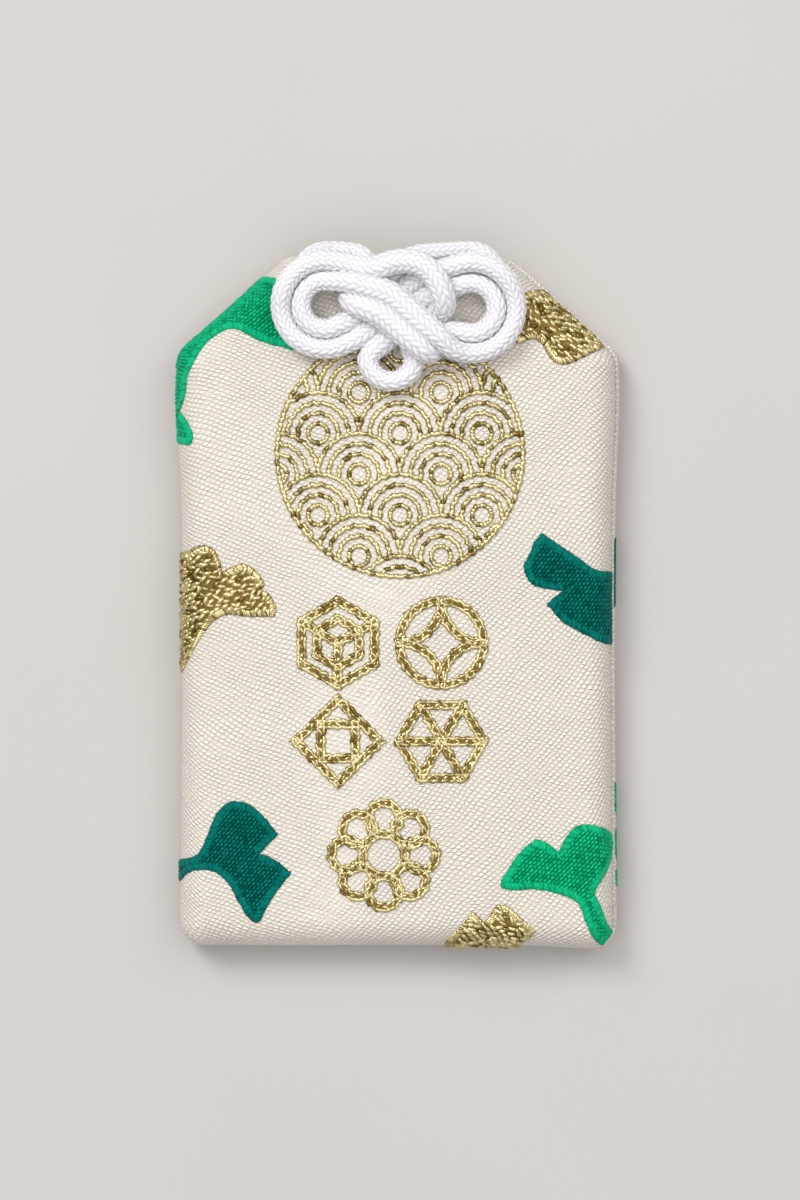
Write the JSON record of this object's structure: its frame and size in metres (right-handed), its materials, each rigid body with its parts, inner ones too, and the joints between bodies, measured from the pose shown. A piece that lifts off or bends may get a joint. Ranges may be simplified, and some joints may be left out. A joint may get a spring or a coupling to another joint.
{
  "type": "omamori charm pouch",
  "caption": "Flat padded brocade pouch with chamfered top corners, embroidered front, a tied cord bow over the mouth and a wrapped slip that slides out.",
  "frame": {"origin": "centre of the pouch's back face, on the surface that it lies on", "axes": "+X across the pouch to the right, +Y up the pouch towards the mouth and bow, +Z out of the front face"},
  "size_m": [0.045, 0.0723, 0.0113],
  "materials": {
    "brocade": "ivory twill brocade with a soft satin lustre",
    "lining": "plain thin cotton",
    "card": "grey-brown card",
    "wadding": "white cotton wadding",
    "paper": "folded white paper",
    "slip_wood": "thin planed cedar",
    "gold_thread": "metallic gold couching thread",
    "emerald_thread": "emerald embroidery silk",
    "teal_thread": "dark teal embroidery silk",
    "cord": "white round braid with a satin lustre"
  },
  "bodies": {
    "pouch": {"front_panel": "brocade", "back_panel": "brocade", "front_lining": "lining", "back_lining": "lining", "stiffener_card": "card", "padding": "wadding", "roundel": "gold_thread", "ornament_1": "gold_thread", "ornament_2": "gold_thread", "ornament_3": "gold_thread", "ornament_4": "gold_thread", "ornament_5": "gold_thread", "leaf_green_top": "emerald_thread", "leaf_gold_top": "gold_thread", "leaf_gold_left": "gold_thread", "leaf_teal_right": "teal_thread", "leaf_teal_left": "teal_thread", "leaf_green_right": "emerald_thread", "leaf_gold_bottom": "gold_thread", "cord_tail_left": "cord", "cord_tail_right": "cord"},
    "bow": {"bow_cord": "cord"},
    "talisman": {"talisman_wrapper": "paper", "talisman_slip": "slip_wood"}
  },
  "joints": [
    {"name": "bow_lift", "type": "hinge", "parent": "pouch", "child": "bow", "pos_m": [0, 0.03595, 0.0061], "axis": [-1, 0, 0], "range_deg": [0, 100]},
    {"name": "talisman_slide", "type": "slide", "parent": "pouch", "child": "talisman", "axis": [0, 1, 0], "range_m": [0, 0.058]}
  ]
}
